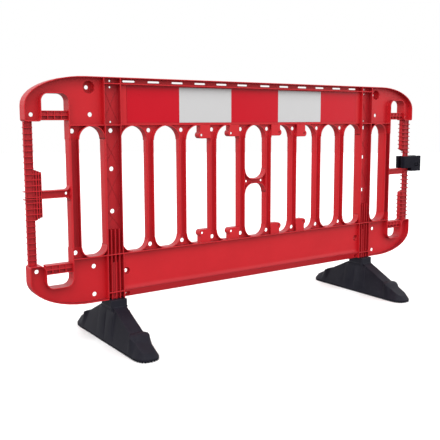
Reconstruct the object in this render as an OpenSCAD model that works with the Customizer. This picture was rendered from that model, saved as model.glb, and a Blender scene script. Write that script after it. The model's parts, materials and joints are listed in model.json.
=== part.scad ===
// Pedestrian barrier panel: a moulded plastic panel that stands on two swivelling feet,
// with reflective sheets on both faces and a clip that links it to the next panel.
// X runs along the panel, Y through it (the front is -Y), Z up from the ground.

/* [Panel] */
// Overall length of the moulded panel
panel_length = 1990; // [1930:5:2200]
// Height of the top edge above the ground
panel_top = 1002; // [980:1:1050]
// Height of the bottom edge above the ground
panel_lo = 169; // [158:1:176]
// Half axis of the oval corners along the panel
corner_rx = 225; // [180:1:245]
// Half axis of the oval corners up the panel
corner_rz = 105; // [85:1:115]
// Depth of the outer rim, the posts and the ledges
frame_depth = 50; // [44:1:60]
// Thickness of the middle web
web_t = 4; // [3:0.5:6]
// Thickness of the outer rim
rim_t = 3.5; // [3:0.5:6]
// Thickness of the rims around openings
flange_t = 3.5; // [3:0.5:5]

/* [Slots and balusters] */
// Width of a baluster
bar_w = 32; // [26:0.5:36]
// Depth of a baluster
bar_depth = 32; // [28:1:42]
// Width of the middle slot
centre_slot_w = 109; // [100:0.5:118]
// Width of the slot next to each post
side_slot_w = 108; // [100:0.5:118]
// Width of the slot outside each post
outer_slot_w = 98.5; // [93:0.5:102]
// Distance from the top edge to the slots
upper_drop = 178.5; // [170:0.5:188]
// Distance from the bottom edge to the slots
lower_drop = 175; // [168:0.5:184]
// Radius of a slot's upper corners, as a share of its width
slot_top_share = 0.48; // [0.4:0.01:0.49]
// Radius of a slot's lower corners, as a share of its width
slot_bottom_share = 0.38; // [0.3:0.01:0.42]
// How far the edges of the uprights draw in towards the faces
edge_taper = 2; // [1:0.5:3]
// Height of the tie across the middle slot
tie_h = 21; // [16:1:30]
// Distance of the tie's holes from its ends
tie_pin_in = 15; // [10:0.5:20]

/* [Boards] */
// Thickness of the upper board that carries the sheets
board_t = 22; // [18:1:28]
// Wall of the hollow upper board
board_wall = 3.5; // [3:0.5:5]
// Length of the solid ends of the boards
board_solid_l = 34; // [32:1:44]
// Thickness of the ledges along the boards
ledge_t = 3.5; // [3:0.5:6]
// Gap between a slot and the ledge past its end
ledge_gap = 1.5; // [1:0.5:3]
// Height of the pierced rail along the top edge
rail_h = 26; // [24:1:34]
// Length of a rail slot
rail_slot_w = 52; // [40:1:60]
// Height of a rail slot
rail_slot_h = 7; // [5:0.5:9]
// Rail slots on each side of the middle
rail_slots = 6; // [4:1:7]
// Distance from the top edge to the middle of the rail slots
rail_slot_drop = 13; // [11:0.5:16]
// Place of the first rail slot from the middle
rail_slot_first = 60.5; // [55:0.5:70]
// Distance from the post to the middle of the last rail slot
rail_slot_edge = 43.5; // [38:0.5:60]
// Height of the lip along the bottom edge
lip_h = 28; // [24:1:36]
// Height of the hollow curve above the lip
lip_curve_h = 18; // [14:1:24]
// How far the lip stands out of the board
lip_reach = 12; // [8:0.5:14]
// Step under the lip's edge
lip_step = 1.5; // [0.5:0.5:2.5]
// Height of the larger side holes above the bottom edge
side_hole_rise = 100; // [90:1:110]
// Diameter of the larger side holes
side_hole_d = 15; // [10:0.5:16]
// Diameter of the sinkings round the larger side holes
side_sunk_d = 27; // [22:1:29]
// Height of the smaller side holes above the bottom edge
low_hole_rise = 12; // [11:0.5:16]
// Diameter of the sinkings round the smaller side holes
low_sunk_d = 19; // [14:1:20]
// Distance of the side holes from the posts
side_hole_in = 15; // [11:0.5:20]

/* [Posts] */
// Width of a post
post_w = 69; // [66:0.5:76]
// Height of the ribbed foot of a post
socket_h = 268; // [240:1:290]
// Wall of the tube that holds a spigot
socket_wall = 3.5; // [3:0.5:5]
// Upright ribs between the walls of a post's foot
socket_ribs = 3; // [2:1:4]
// Thickness of the upright ribs
socket_rib_t = 3; // [2.5:0.5:5]
// Depth of the upright ribs
socket_rib_depth = 46; // [40:1:49]
// Thickness of the diagonal ribs in a post
brace_t = 2; // [1.5:0.5:5]
// Depth of the diagonal ribs in a post
brace_depth = 7; // [6:1:14]

/* [Ends] */
// Width of the horns at the panel's ends
horn_w = 60; // [56:1:66]
// Width of the end windows
window_w = 98.5; // [92:0.5:104]
// Width of the upright between the outer slot and the end windows
end_bar_w = 36.5; // [32:0.5:40]
// Height of the small upper window
upper_window_h = 60; // [50:1:66]
// Distance from the top edge to the small upper window
upper_window_gap = 63; // [58:1:70]
// Height of the small lower window
lower_window_h = 50; // [44:1:55]
// Distance from the bottom edge to the small lower window
lower_window_gap = 76; // [70:1:80]
// Radius of the small windows' corners
window_r = 27; // [20:1:36]
// Height of the ribbed links beside the windows
link_h = 34; // [28:1:36]
// Ribs across a link
link_ribs = 3; // [2:1:5]
// Depth of the upper recesses in a link
link_recess = 4; // [2:0.5:6]
// Depth of the lower recesses in a link
link_low_recess = 8; // [6:0.5:10]
// Depth of the ribbed links
link_depth = 30; // [24:1:40]
// How far a horn reaches past its link
horn_past = 4; // [2:0.5:6]
// Radius of an upper horn's inner corner
upper_horn_r = 12; // [10:1:20]
// Radius of a lower horn's inner corner
lower_horn_r = 26; // [16:1:28]
// Radius of a horn's outer corner
horn_outer_r = 8; // [6:0.5:14]
// Height of a crossbar
crossbar_h = 28; // [22:1:32]
// Depth of a crossbar
crossbar_depth = 30; // [24:1:40]
// Radius of a crossbar's fillets
crossbar_r = 16; // [10:1:20]

/* [Ribbed end bars] */
// Distance from the panel's end to the bar's outer edge
grip_inset = 1; // [0.5:0.5:6]
// Width of the narrow part of a bar
grip_w = 30; // [27:1:34]
// Width of the wide part of a bar
grip_wide_w = 56; // [50:1:60]
// Thickness of a bar
grip_t = 4; // [3:0.5:6]
// Depth of a bar's upright edges
grip_edge_depth = 11; // [10:0.5:14]
// Depth of the ribs on a bar
grip_rib_depth = 18; // [15:0.5:18]
// Thickness of a rib
grip_rib_t = 3; // [2:0.5:4]
// Upright ribs across the wide part of a bar
grip_wide_ribs = 3; // [1:1:4]
// Pitch of the ribs
grip_rib_pitch = 20; // [16:1:30]
// How far a rib stands past the bar's edges
grip_rib_past = 1; // [0.5:0.5:2]
// How far the two catch ribs stand past the left bar's outer edge
catch_past = 8; // [6:0.5:9.5]
// Half height of the wide part of the left bar
left_wide_half = 91; // [80:1:100]
// Half height of the narrow part of the right bar
right_narrow_half = 98; // [92:1:110]
// Height of the slope between the widths
grip_step_h = 11; // [8:1:16]

/* [Holes] */
// Diameter of the tie holes
tie_hole_d = 17; // [12:0.5:18]
// Diameter of the small holes
pin_hole_d = 7.5; // [5:0.5:8]
// Distance of the small post holes from the ledges
pin_hole_in = 10; // [7:0.5:14]
// Distance of the tie holes from the ends of the slots
tie_hole_in = 17; // [15:0.5:19]
// Diameter of the horn holes
horn_hole_d = 15; // [12:0.5:17]
// Distance of a horn hole from the horn's tip
horn_hole_in = 24; // [20:0.5:28]
// Distance of the corner holes from the post
corner_hole_out = 46; // [40:0.5:50]
// Distance of the corner holes from the end of the outer slot
corner_hole_back = 42; // [38:0.5:46]
// Height of the lowest corner holes above the bottom edge
corner_hole_low = 26; // [22:0.5:32]
// Diameter of the lamp cup
lamp_cup_d = 45; // [40:1:46]
// Depth of the lamp cup behind the web
lamp_cup_depth = 19; // [14:0.5:20]
// Wall of the lamp cup
lamp_cup_wall = 2.5; // [2:0.5:4]
// Diameter of the lamp cup's fixing hole
lamp_hole_d = 15; // [10:0.5:16]
// Distance of the lamp cup from the top edge
lamp_drop = 38; // [36:0.5:44]
// Distance of the lamp cup from the post
lamp_out = 48.5; // [40:0.5:52]

/* [Sign lugs] */
// Distance of the lug holes from the baluster
lug_hole_out = 42; // [38:0.5:46]
// Distance of the inner lug holes from the slot's end
lug_inner_rise = 33; // [30:0.5:36]
// Distance of the outer lug holes from the slot's end
lug_outer_rise = 39; // [36:0.5:42]
// Distance of a lug hole from the lug's edges
lug_margin = 14; // [12:0.5:16]
// Width of a lug's root
lug_neck_w = 48; // [40:1:52]
// Depth of the rim behind a lug
lug_depth = 30; // [18:1:32]
// Thickness of the rim behind a lug
lug_wall = 3; // [2:0.5:4]
// Diameter of a lug hole
lug_hole_d = 10; // [8:0.5:12]
// Thickness of a lug
lug_t = 4; // [3:0.5:6]

/* [Sheets] */
// Distance between the row of sheets, before its ends are trimmed, and the posts
sheet_side_gap = 6.5; // [3:0.5:10]
// Distance between the trimmed ends of the row and the posts
sheet_end_gap = 29; // [20:1:40]
// Distance between the sheets and the rail
sheet_top_gap = 4; // [2:0.5:8]
// Distance between the sheets and the board's lower edge
sheet_bottom_gap = 10; // [6:0.5:14]
// Thickness of a sheet
sheet_t = 1; // [0.6:0.1:2]

/* [Feet] */
// Length of a foot across the panel
foot_length = 598; // [560:2:660]
// Width of a foot
foot_w = 96; // [92:1:112]
// Length of the oval ends of a foot
sole_tip_l = 85; // [60:1:120]
// Wall of a foot, which is hollow underneath
foot_wall = 8; // [6:0.5:9]
// Height of a foot's sole
sole_h = 12; // [10:1:18]
// Width of a foot's neck
neck_w = 66; // [62:1:72]
// Length of a foot's neck across the panel
neck_l = 88; // [76:1:96]
// Height of a foot's neck
neck_h = 27; // [22:1:34]
// Width of a foot's ridge
ridge_w = 53; // [48:1:60]
// Length of the ridge's flat top
ridge_top_l = 102; // [96:1:120]
// Distance from the end of the ridge to the end of the sole
ridge_inset = 17; // [12:1:24]
// Height of the ridge's ends
ridge_end_h = 29.5; // [24:0.5:36]
// Length of the buttress under the neck
buttress_l = 132; // [120:1:160]
// Distance from the neck's foot to the top of the buttress
buttress_drop = 15; // [10:1:22]
// Distance of the step nub from the foot's middle
nub_out = 183; // [150:1:210]
// Length of the step nub
nub_l = 45; // [30:1:50]
// Height of the step nub
nub_h = 13; // [8:1:18]
// Width of the step nub
nub_w = 50; // [36:1:52]
// Notches around each end of the sole
tread_notches = 17; // [5:2:19]
// Pitch of the notches along the sides of the sole
tread_pitch = 12; // [11:1:24]
// Height of a notch
tread_h = 5; // [3:0.5:7]
// Width of a notch
tread_w = 6; // [4:0.5:8]
// Depth of a notch
tread_depth = 7; // [4:0.5:7.5]

/* [Swivel spigots] */
// Diameter of a spigot
spigot_d = 20; // [18:0.5:22]
// Depth of a spigot in its foot
spigot_in_foot = 70; // [50:1:90]
// Play between a spigot and its post, on the radius
swivel_gap = 0.08; // [0.02:0.01:0.1]
// Depth of the plain bore in a post
socket_bore_l = 97; // [80:1:110]
// Diameter of a spigot's snap head
spigot_head_d = 25; // [23:0.5:26.5]
// Height of the snap head's rim
spigot_head_h = 12; // [8:1:16]
// Height of the snap head's nose
spigot_nose_h = 16; // [10:1:20]
// Width of the slit that splits the snap head
spigot_slit = 4; // [3:0.5:6]
// Room around the snap head
head_gap = 0.9; // [0.5:0.1:1.5]
// Room above the snap head
head_room = 12; // [6:1:20]

/* [Link clip] */
// Play between a jaw and the ribs of the bar in it
jaw_gap = 0.9; // [0.4:0.1:1.5]
// Thinnest wall beside a jaw
clip_wall = 8; // [6:0.5:9]
// Reach of the clip inward from the bar
clip_in = 42; // [36:0.5:46]
// Reach of the clip outward from its outer jaw
clip_out = 37; // [36:0.5:42]
// Distance between the clip's two jaws
clip_pitch = 58; // [54:0.5:64]
// Width of a jaw's mouth
mouth_w = 19; // [18.5:0.5:24]
// Height of the clip
clip_h = 78; // [70:1:90]
// Height of the clip's foot below its inner jaw
clip_skirt_h = 17; // [12:1:20]
// Radius of the clip's corners
clip_r = 8; // [5:0.5:9]
// Height of the oval recess above the clip's foot
oval_rise = 33; // [28:1:40]
// Length of the oval recess on the clip
oval_l = 34; // [24:1:38]
// Height of the oval recess on the clip
oval_h = 22; // [16:1:24]
// Depth of the oval recess on the clip
oval_depth = 2.5; // [1.5:0.5:3]

/* [Hidden] */

// Finish colours
panel_red = [0.78, 0.13, 0.17];
sheet_red = [0.80, 0.10, 0.15];
sheet_white = [0.84, 0.83, 0.83];
moulded_black = [0.16, 0.15, 0.18];

// Overrun of cuts, play under a seat, the flat left between round corners, and the fineness of curves
over = 1;
seat_gap = 0.3;
hair = 0.1;
arc_steps = 12;
$fn = 48;

// Balusters on each side of the middle, and sheets on each face
bars_per_side = 4;
sheet_count = 5;

// Places along the panel, measured from its middle
end_x = panel_length / 2;
horn_in_x = end_x - horn_w;
end_bar_out_x = horn_in_x - window_w;
end_bar_in_x = end_bar_out_x - end_bar_w;
post_out_x = end_bar_in_x - outer_slot_w;
post_x = post_out_x - post_w / 2;
post_in_x = post_x - post_w / 2;
board_cell_x = post_in_x - board_solid_l;
first_bar_x = (centre_slot_w + bar_w) / 2;
bar_pitch = (post_in_x - side_slot_w - bar_w / 2 - first_bar_x) / (bars_per_side - 1);
grip_x = end_x - grip_inset - grip_w / 2;
jaw_r = norm([grip_w / 2 + grip_rib_past, grip_rib_depth / 2]) + jaw_gap;
clip_depth = 2 * (jaw_r + clip_wall);
clip_out_x = grip_x + clip_pitch + clip_out;
frame_shift = (end_x - clip_out_x) / 2;

// Heights
slot_hi = panel_top - upper_drop;
slot_lo = panel_lo + lower_drop;
widest_slot = max([for (i = [0 : bars_per_side]) slot_width(i)]);
arch_hi = slot_hi - slot_top_share * widest_slot;
arch_lo = slot_lo + slot_bottom_share * widest_slot;
outer_top_r = slot_top_share * outer_slot_w;
outer_bottom_r = slot_bottom_share * outer_slot_w;
tie_r = slot_bottom_share * centre_slot_w;
upper_ledge = slot_hi + ledge_gap;
lower_ledge = slot_lo - ledge_gap - ledge_t;
rail_lo = panel_top - rail_h;
rail_slot_z = panel_top - rail_slot_drop;
upper_tip = upper_window_gap + upper_window_h + link_h + horn_past;
lower_tip = lower_window_gap + lower_window_h + link_h + horn_past;
grip_lo = panel_lo + lower_tip;
grip_hi = panel_top - upper_tip;
crossbar_z = (slot_lo + slot_hi) / 2;
socket_top = panel_lo + socket_h;
shoulder = panel_lo - neck_h;
buttress_hi = shoulder - buttress_drop;
ridge_end_l = foot_length - 2 * ridge_inset;
chamber_r = spigot_head_d / 2 + head_gap;
chamber_h = spigot_head_h + spigot_nose_h + head_room;
post_hole_shares = [0.333, 0.667];
taper_start_share = 0.28;

// Heights of the tie holes in the corners, measured from the edge
upper_corner_holes = [upper_drop - corner_hole_back];
lower_corner_holes = [lower_drop - corner_hole_back, corner_hole_low];

// Link clip heights
clip_seat_z = crossbar_z + crossbar_h / 2 + seat_gap;
clip_lo = clip_seat_z - clip_skirt_h;

function bar_x(i) = first_bar_x + (i - 1) * bar_pitch;
function bar_in(i) = bar_x(i) - bar_w / 2;
function bar_out(i) = bar_x(i) + bar_w / 2;
function slot_ends(i) = i == 0 ? [-centre_slot_w / 2, centre_slot_w / 2]
    : [bar_out(i), i == bars_per_side ? post_in_x : bar_in(i + 1)];
function slot_width(i) = slot_ends(i)[1] - slot_ends(i)[0];

// Points of an elliptical arc, and of a box with its lower and upper corners rounded
function arc(x, z, rx, rz, from, to) = [for (i = [0 : arc_steps])
    let (a = from + (to - from) * i / arc_steps) [x + rx * cos(a), z + rz * sin(a)]];
function rounded(x0, z0, x1, z1, r_lo, r_hi) = concat(
    arc(x0 + r_lo, z0 + r_lo, r_lo, r_lo, 180, 270),
    arc(x1 - r_lo, z0 + r_lo, r_lo, r_lo, 270, 360),
    arc(x1 - r_hi, z1 - r_hi, r_hi, r_hi, 0, 90),
    arc(x0 + r_hi, z1 - r_hi, r_hi, r_hi, 90, 180));

// The panel's middle lies beside the middle of the whole part, because the clip stands out at one end
module in_frame() {
    translate([frame_shift, 0, 0]) children();
}

// An outline in X and Z, given a depth centred on a plane through the panel
module slab(depth, mid = 0) {
    translate([0, mid + depth / 2, 0]) rotate([90, 0, 0]) linear_extrude(depth) children();
}

module rect(x0, z0, x1, z1) {
    translate([x0, z0]) square([x1 - x0, z1 - z0]);
}

// A round hole through the panel
module hole(x, z, d) {
    translate([x, frame_depth / 2 + over, z]) rotate([90, 0, 0]) cylinder(h = frame_depth + 2 * over, d = d);
}

// A round sinking in both faces, down to the web
module sunk(x, z, d) {
    for (face = [0, 1]) mirror([0, face, 0])
        translate([x, -web_t / 2, z]) rotate([90, 0, 0]) cylinder(h = frame_depth, d = d);
}

module both_ways() {
    children();
    mirror([1, 0, 0]) children();
}

module slots_outline(grow) {
    for (i = [0 : bars_per_side], side = i == 0 ? [0] : [0, 1])
        mirror([side, 0]) polygon(rounded(slot_ends(i)[0] - grow, slot_lo - grow,
            slot_ends(i)[1] + grow, slot_hi + grow, slot_bottom_share * slot_width(i) + grow,
            slot_top_share * slot_width(i) + grow));
}

// Web and slot rims of the stretch of panel between two heights
module pierced_web(z0, z1) {
    slab(web_t) difference() {
        rect(-post_in_x, z0, post_in_x, z1);
        slots_outline(0);
    }
    slab(bar_depth) intersection() {
        rect(-post_in_x, z0, post_in_x, z1);
        difference() {
            slots_outline(flange_t);
            slots_outline(0);
        }
    }
}

module ledge(z0, z1, depth) {
    slab(depth) rect(-post_in_x, z0, post_in_x, z1);
}

// Sign lugs beside the two balusters nearest the middle, at one end of the slots:
// front plates with a round end and a rim behind
module lug_outline(i, rise, inset) {
    r = lug_margin - inset;
    rect(bar_out(i), -ledge_gap, bar_out(i) + lug_neck_w - inset, rise);
    rect(bar_out(i), rise, bar_out(i) + lug_hole_out, rise + r);
    translate([bar_out(i) + lug_hole_out, rise]) circle(r = r);
}

module lug(i, rise) {
    mid = (lug_depth - bar_depth) / 2;
    difference() {
        slab(lug_depth, mid) lug_outline(i, rise, 0);
        slab(lug_depth, mid + lug_t) lug_outline(i, rise, lug_wall);
    }
}

module lugs() {
    both_ways() {
        lug(1, lug_inner_rise);
        lug(2, lug_outer_rise);
    }
}

module lug_holes() {
    both_ways() {
        hole(bar_out(1) + lug_hole_out, lug_inner_rise, lug_hole_d);
        hole(bar_out(2) + lug_hole_out, lug_outer_rise, lug_hole_d);
    }
}

module bar_holes(z) {
    both_ways() for (i = [1 : bars_per_side]) hole(bar_x(i), z, tie_hole_d);
}

module rail_slot(x) {
    r = (rail_slot_h - hair) / 2;
    slab(frame_depth + over) polygon(rounded(x - rail_slot_w / 2, rail_slot_z - rail_slot_h / 2,
        x + rail_slot_w / 2, rail_slot_z + rail_slot_h / 2, r, r));
}

// Upper board with its pierced rail and the arched heads of the slots
module upper_board() {
    color(panel_red) in_frame() difference() {
        union() {
            pierced_web(arch_hi, panel_top);
            ledge(rail_lo, rail_lo + ledge_t, frame_depth);
            ledge(panel_top - rim_t, panel_top, frame_depth);
            ledge(upper_ledge, rail_lo + ledge_t, board_t);
            translate([0, 0, slot_hi]) mirror([0, 0, 1]) lugs();
        }
        slab(board_t - 2 * board_wall)
            rect(-board_cell_x, upper_ledge + 2 * board_wall, board_cell_x, rail_lo);
        rail_step = (post_in_x - rail_slot_edge - rail_slot_first) / (rail_slots - 1);
        both_ways() for (i = [0 : rail_slots - 1]) rail_slot(rail_slot_first + i * rail_step);
        bar_holes(slot_hi - tie_hole_in);
        translate([0, 0, slot_hi]) mirror([0, 0, 1]) lug_holes();
    }
}

// Lip along the bottom edge: it swells out of the board in a hollow curve and slopes back under
module lip() {
    edge_y = board_t / 2 + lip_reach;
    edge_z = panel_lo + lip_h;
    side = concat(arc(-edge_y, edge_z + lip_curve_h, lip_reach, lip_curve_h, 360, 270),
        [[lip_step - edge_y, edge_z - lip_step], [-board_t / 2, panel_lo]]);
    translate([-post_in_x, 0, 0]) rotate([90, 0, 90]) linear_extrude(2 * post_in_x)
        for (face = [0, 1]) mirror([face, 0])
            polygon(concat(side, [[0, panel_lo], [0, edge_z + lip_curve_h]]));
}

// Lower board with its lip and the rounded feet of the slots
module lower_board() {
    side_x = post_in_x - side_hole_in;
    color(panel_red) in_frame() difference() {
        union() {
            pierced_web(lower_ledge, arch_lo);
            ledge(lower_ledge, lower_ledge + ledge_t, frame_depth);
            ledge(panel_lo, lower_ledge + ledge_t, board_t);
            lip();
            translate([0, 0, slot_lo]) lugs();
        }
        slab(board_t - 2 * board_wall)
            rect(-board_cell_x, panel_lo - over, board_cell_x, lower_ledge);
        bar_holes(slot_lo + tie_hole_in);
        translate([0, 0, slot_lo]) lug_holes();
        both_ways() {
            hole(side_x, panel_lo + side_hole_rise, side_hole_d);
            sunk(side_x, panel_lo + side_hole_rise, side_sunk_d);
            hole(side_x, panel_lo + low_hole_rise, pin_hole_d);
            sunk(side_x, panel_lo + low_hole_rise, low_sunk_d);
        }
    }
}

// Plan of one flange of an upright, whose tips lean inward
function flange_plan(depth) = let (y = depth * taper_start_share)
    [[0, -y], [edge_taper, -depth / 2], [edge_taper + flange_t, -depth / 2], [flange_t, -y],
        [flange_t, y], [edge_taper + flange_t, depth / 2], [edge_taper, depth / 2], [0, y]];

// Upright: two leaning flanges joined by the web
module upright(x0, x1, z0, z1, depth) {
    translate([x0, 0, z0]) linear_extrude(z1 - z0) polygon(flange_plan(depth));
    translate([x1, 0, z0]) mirror([1, 0, 0]) linear_extrude(z1 - z0) polygon(flange_plan(depth));
    translate([x0, -web_t / 2, z0]) cube([x1 - x0, web_t, z1 - z0]);
}

module baluster(i) {
    color(panel_red) in_frame() mirror([i < 0 ? 1 : 0, 0, 0])
        upright(bar_in(abs(i)), bar_out(abs(i)), arch_lo, arch_hi, bar_depth);
}

module baluster_1() { baluster(-4); }
module baluster_2() { baluster(-3); }
module baluster_3() { baluster(-2); }
module baluster_4() { baluster(-1); }
module baluster_5() { baluster(1); }
module baluster_6() { baluster(2); }
module baluster_7() { baluster(3); }
module baluster_8() { baluster(4); }

// Tie across the middle slot, waisted by the rounded ends of the openings above and below
module tie_outline(inset) {
    half = tie_h / 2 + tie_r;
    difference() {
        rect(-centre_slot_w / 2, crossbar_z - half, centre_slot_w / 2, crossbar_z + half);
        for (side = [0, 1]) translate([0, crossbar_z]) mirror([0, side])
            polygon(rounded(-centre_slot_w / 2 - inset, tie_h / 2 - inset, centre_slot_w / 2 + inset,
                half + tie_r + over, tie_r + inset, tie_r / 2));
    }
}

module centre_tie() {
    color(panel_red) in_frame() difference() {
        union() {
            slab(web_t) tie_outline(0);
            slab(bar_depth) difference() {
                tie_outline(0);
                tie_outline(flange_t);
            }
        }
        both_ways() hole(centre_slot_w / 2 - tie_pin_in, crossbar_z, lug_hole_d);
    }
}

// Post: a deep channel with diagonal ribs, and a ribbed foot round the tube that holds the swivel spigot
module brace(z0, z1) {
    x = (post_w - flange_t) / 2;
    for (side = [0, 1]) mirror([side, 0])
        polygon([[-x, z0 - brace_t / 2], [x, z1 - brace_t / 2],
            [x, z1 + brace_t / 2], [-x, z0 + brace_t / 2]]);
}

module post_body() {
    hole_z = concat([for (s = post_hole_shares) slot_lo + s * (slot_hi - slot_lo)], [slot_hi - tie_hole_in]);
    upright(-post_w / 2, post_w / 2, slot_lo, slot_hi, frame_depth);
    slab(web_t) rect(-post_w / 2, panel_lo, post_w / 2, panel_top);
    slab(frame_depth) {
        for (side = [0, 1], z = [[panel_lo, slot_lo], [slot_hi, panel_top]])
            mirror([side, 0]) rect(-post_w / 2, z[0], flange_t - post_w / 2, z[1]);
        for (z = [panel_top - ledge_t, rail_lo, upper_ledge, lower_ledge, panel_lo + lip_h - ledge_t])
            rect(-post_w / 2, z, post_w / 2, z + ledge_t);
    }
    slab(socket_rib_depth) for (i = [1 : socket_ribs])
        translate([(i / (socket_ribs + 1) - 0.5) * (post_w - flange_t), 0])
            rect(-socket_rib_t / 2, panel_lo, socket_rib_t / 2, socket_top);
    translate([0, 0, panel_lo])
        cylinder(h = socket_bore_l + chamber_h + socket_wall, r = chamber_r + socket_wall);
    slab(brace_depth) {
        brace(socket_top, hole_z[0] + tie_hole_d);
        brace(hole_z[0] + tie_hole_d, hole_z[1]);
        brace(hole_z[1], hole_z[2] - tie_hole_d);
        brace(upper_ledge + ledge_t, rail_lo);
    }
}

module post_holes() {
    for (s = post_hole_shares) hole(0, slot_lo + s * (slot_hi - slot_lo), tie_hole_d);
    hole(0, slot_hi - tie_hole_in, tie_hole_d);
    for (z = [rail_slot_z, rail_lo - pin_hole_in, upper_ledge + ledge_t + pin_hole_in])
        hole(0, z, pin_hole_d);
}

// Stepped socket in the post: a plain bore for the spigot and a chamber where its head snaps open
module socket_bore() {
    translate([0, 0, panel_lo - over]) cylinder(h = socket_bore_l + over, r = spigot_d / 2 + swivel_gap);
    translate([0, 0, panel_lo + socket_bore_l]) cylinder(h = chamber_h, r = chamber_r);
}

module post() {
    translate([post_x, 0, 0]) difference() {
        post_body();
        post_holes();
        socket_bore();
    }
}

module left_post() { color(panel_red) in_frame() mirror([1, 0, 0]) post(); }
module right_post() { color(panel_red) in_frame() post(); }

// Corner of the panel, drawn upward from the edge that it stands on
module edge_outline(inset) {
    rx = corner_rx - inset;
    rz = corner_rz - inset;
    polygon(concat([[post_out_x, inset]], arc(end_x - corner_rx, corner_rz, rx, rz, 270, 360),
        [[end_x - inset, slot_lo], [post_out_x, slot_lo]]));
}

module horn_outline(tip, inner_r, inset) {
    r_in = inner_r - inset;
    r_out = horn_outer_r - inset;
    polygon(concat([[horn_in_x + inset, inset], [end_x - inset, inset]],
        arc(end_x - horn_outer_r, tip - horn_outer_r, r_out, r_out, 0, 90),
        arc(horn_in_x + inner_r, tip - inner_r, r_in, r_in, 90, 180)));
}

module corner_outline(drop, slot_r, window_gap, window_h, tip, horn_r, inset) {
    window_end = window_gap + window_h;
    difference() {
        intersection() {
            edge_outline(inset);
            union() {
                rect(post_out_x, 0, end_bar_out_x - inset, drop + slot_r);
                rect(end_bar_out_x - flange_t, 0, end_x, window_end);
                horn_outline(tip, horn_r, inset);
            }
        }
        polygon(rounded(end_bar_out_x - inset, window_gap - inset, horn_in_x + inset,
            window_end + 2 * window_r, window_r + inset, window_r));
        polygon(rounded(post_out_x - inset, drop - inset, end_bar_in_x + inset,
            drop + 3 * slot_r, slot_r + inset, slot_r));
    }
}

module corner(drop, slot_r, window_gap, window_h, tip, horn_r, holes) {
    difference() {
        union() {
            slab(web_t) corner_outline(drop, slot_r, window_gap, window_h, tip, horn_r, 0);
            slab(frame_depth) difference() {
                corner_outline(drop, slot_r, window_gap, window_h, tip, horn_r, 0);
                corner_outline(drop, slot_r, window_gap, window_h, tip, horn_r, flange_t);
            }
            slab(frame_depth) rect(post_out_x, drop - ledge_gap - ledge_t, end_bar_out_x, drop - ledge_gap);
        }
        hole((end_bar_in_x + end_bar_out_x) / 2, drop + tie_hole_in, tie_hole_d);
        hole((horn_in_x + end_x) / 2, tip - horn_hole_in, horn_hole_d);
        for (z = holes) hole(post_out_x + corner_hole_out, z, tie_hole_d);
    }
}

// Cup for a warning lamp, sunk from the front of the web
module lamp_cup_wall_body() {
    rotate([-90, 0, 0]) translate([0, 0, -web_t / 2])
        cylinder(h = web_t + lamp_cup_depth + lamp_cup_wall, d = lamp_cup_d + 2 * lamp_cup_wall);
}

module lamp_cup_bore() {
    rotate([-90, 0, 0]) translate([0, 0, -web_t / 2 - over]) {
        cylinder(h = web_t + lamp_cup_depth + over, d = lamp_cup_d);
        cylinder(h = frame_depth, d = lamp_hole_d);
    }
}

module upper_corner() {
    lamp_place = [post_out_x + lamp_out, 0, panel_top - lamp_drop];
    difference() {
        union() {
            translate([0, 0, panel_top]) mirror([0, 0, 1])
                corner(upper_drop, outer_top_r, upper_window_gap, upper_window_h, upper_tip,
                    upper_horn_r, upper_corner_holes);
            translate(lamp_place) lamp_cup_wall_body();
        }
        translate(lamp_place) lamp_cup_bore();
    }
}

module lower_corner() {
    translate([0, 0, panel_lo])
        corner(lower_drop, outer_bottom_r, lower_window_gap, lower_window_h, lower_tip,
            lower_horn_r, lower_corner_holes);
}

module left_upper_corner() { color(panel_red) in_frame() mirror([1, 0, 0]) upper_corner(); }
module right_upper_corner() { color(panel_red) in_frame() upper_corner(); }
module left_lower_corner() { color(panel_red) in_frame() mirror([1, 0, 0]) lower_corner(); }
module right_lower_corner() { color(panel_red) in_frame() lower_corner(); }

module end_bar() {
    upright(end_bar_in_x, end_bar_out_x, slot_lo + outer_bottom_r, slot_hi - outer_top_r, frame_depth);
}

module left_end_bar() { color(panel_red) in_frame() mirror([1, 0, 0]) end_bar(); }
module right_end_bar() { color(panel_red) in_frame() end_bar(); }

// Crossbar from the end upright to the ribbed bar, filleted at the upright
module crossbar_outline(to_x, inset) {
    half = crossbar_h / 2 - inset;
    r = crossbar_r + inset;
    polygon(concat(arc(end_bar_out_x + crossbar_r, crossbar_z + half + r, r, r, 180, 270),
        [[to_x, crossbar_z + half], [to_x, crossbar_z - half]],
        arc(end_bar_out_x + crossbar_r, crossbar_z - half - r, r, r, 90, 180)));
}

module crossbar(to_x) {
    difference() {
        union() {
            slab(web_t) crossbar_outline(to_x, 0);
            slab(crossbar_depth) intersection() {
                rect(end_bar_out_x, crossbar_z - crossbar_h, to_x, crossbar_z + crossbar_h);
                difference() {
                    crossbar_outline(to_x, 0);
                    crossbar_outline(to_x + over, flange_t);
                }
            }
        }
        hole(end_bar_out_x + lug_hole_d, crossbar_z, lug_hole_d);
    }
}

module left_crossbar() {
    color(panel_red) in_frame() mirror([1, 0, 0]) crossbar(end_x - grip_inset - grip_wide_w);
}

module right_crossbar() {
    color(panel_red) in_frame() crossbar(end_x - grip_inset - grip_w);
}

// Ribbed link between the end upright and a horn, with its lower edge at z:
// shallow cells above, deep cells below
module link(z) {
    mid_z = z + link_h / 2;
    slab(link_depth - 2 * link_low_recess) rect(end_bar_out_x, z, horn_in_x, mid_z);
    slab(link_depth - 2 * link_recess) rect(end_bar_out_x, mid_z, horn_in_x, z + link_h);
    slab(link_depth) {
        for (low = [z, mid_z - flange_t / 2, z + link_h - flange_t])
            rect(end_bar_out_x, low, horn_in_x, low + flange_t);
        for (i = [1 : link_ribs])
            translate([end_bar_out_x + i * window_w / (link_ribs + 1), z])
                rect(-grip_rib_t / 2, 0, grip_rib_t / 2, link_h);
    }
}

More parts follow.
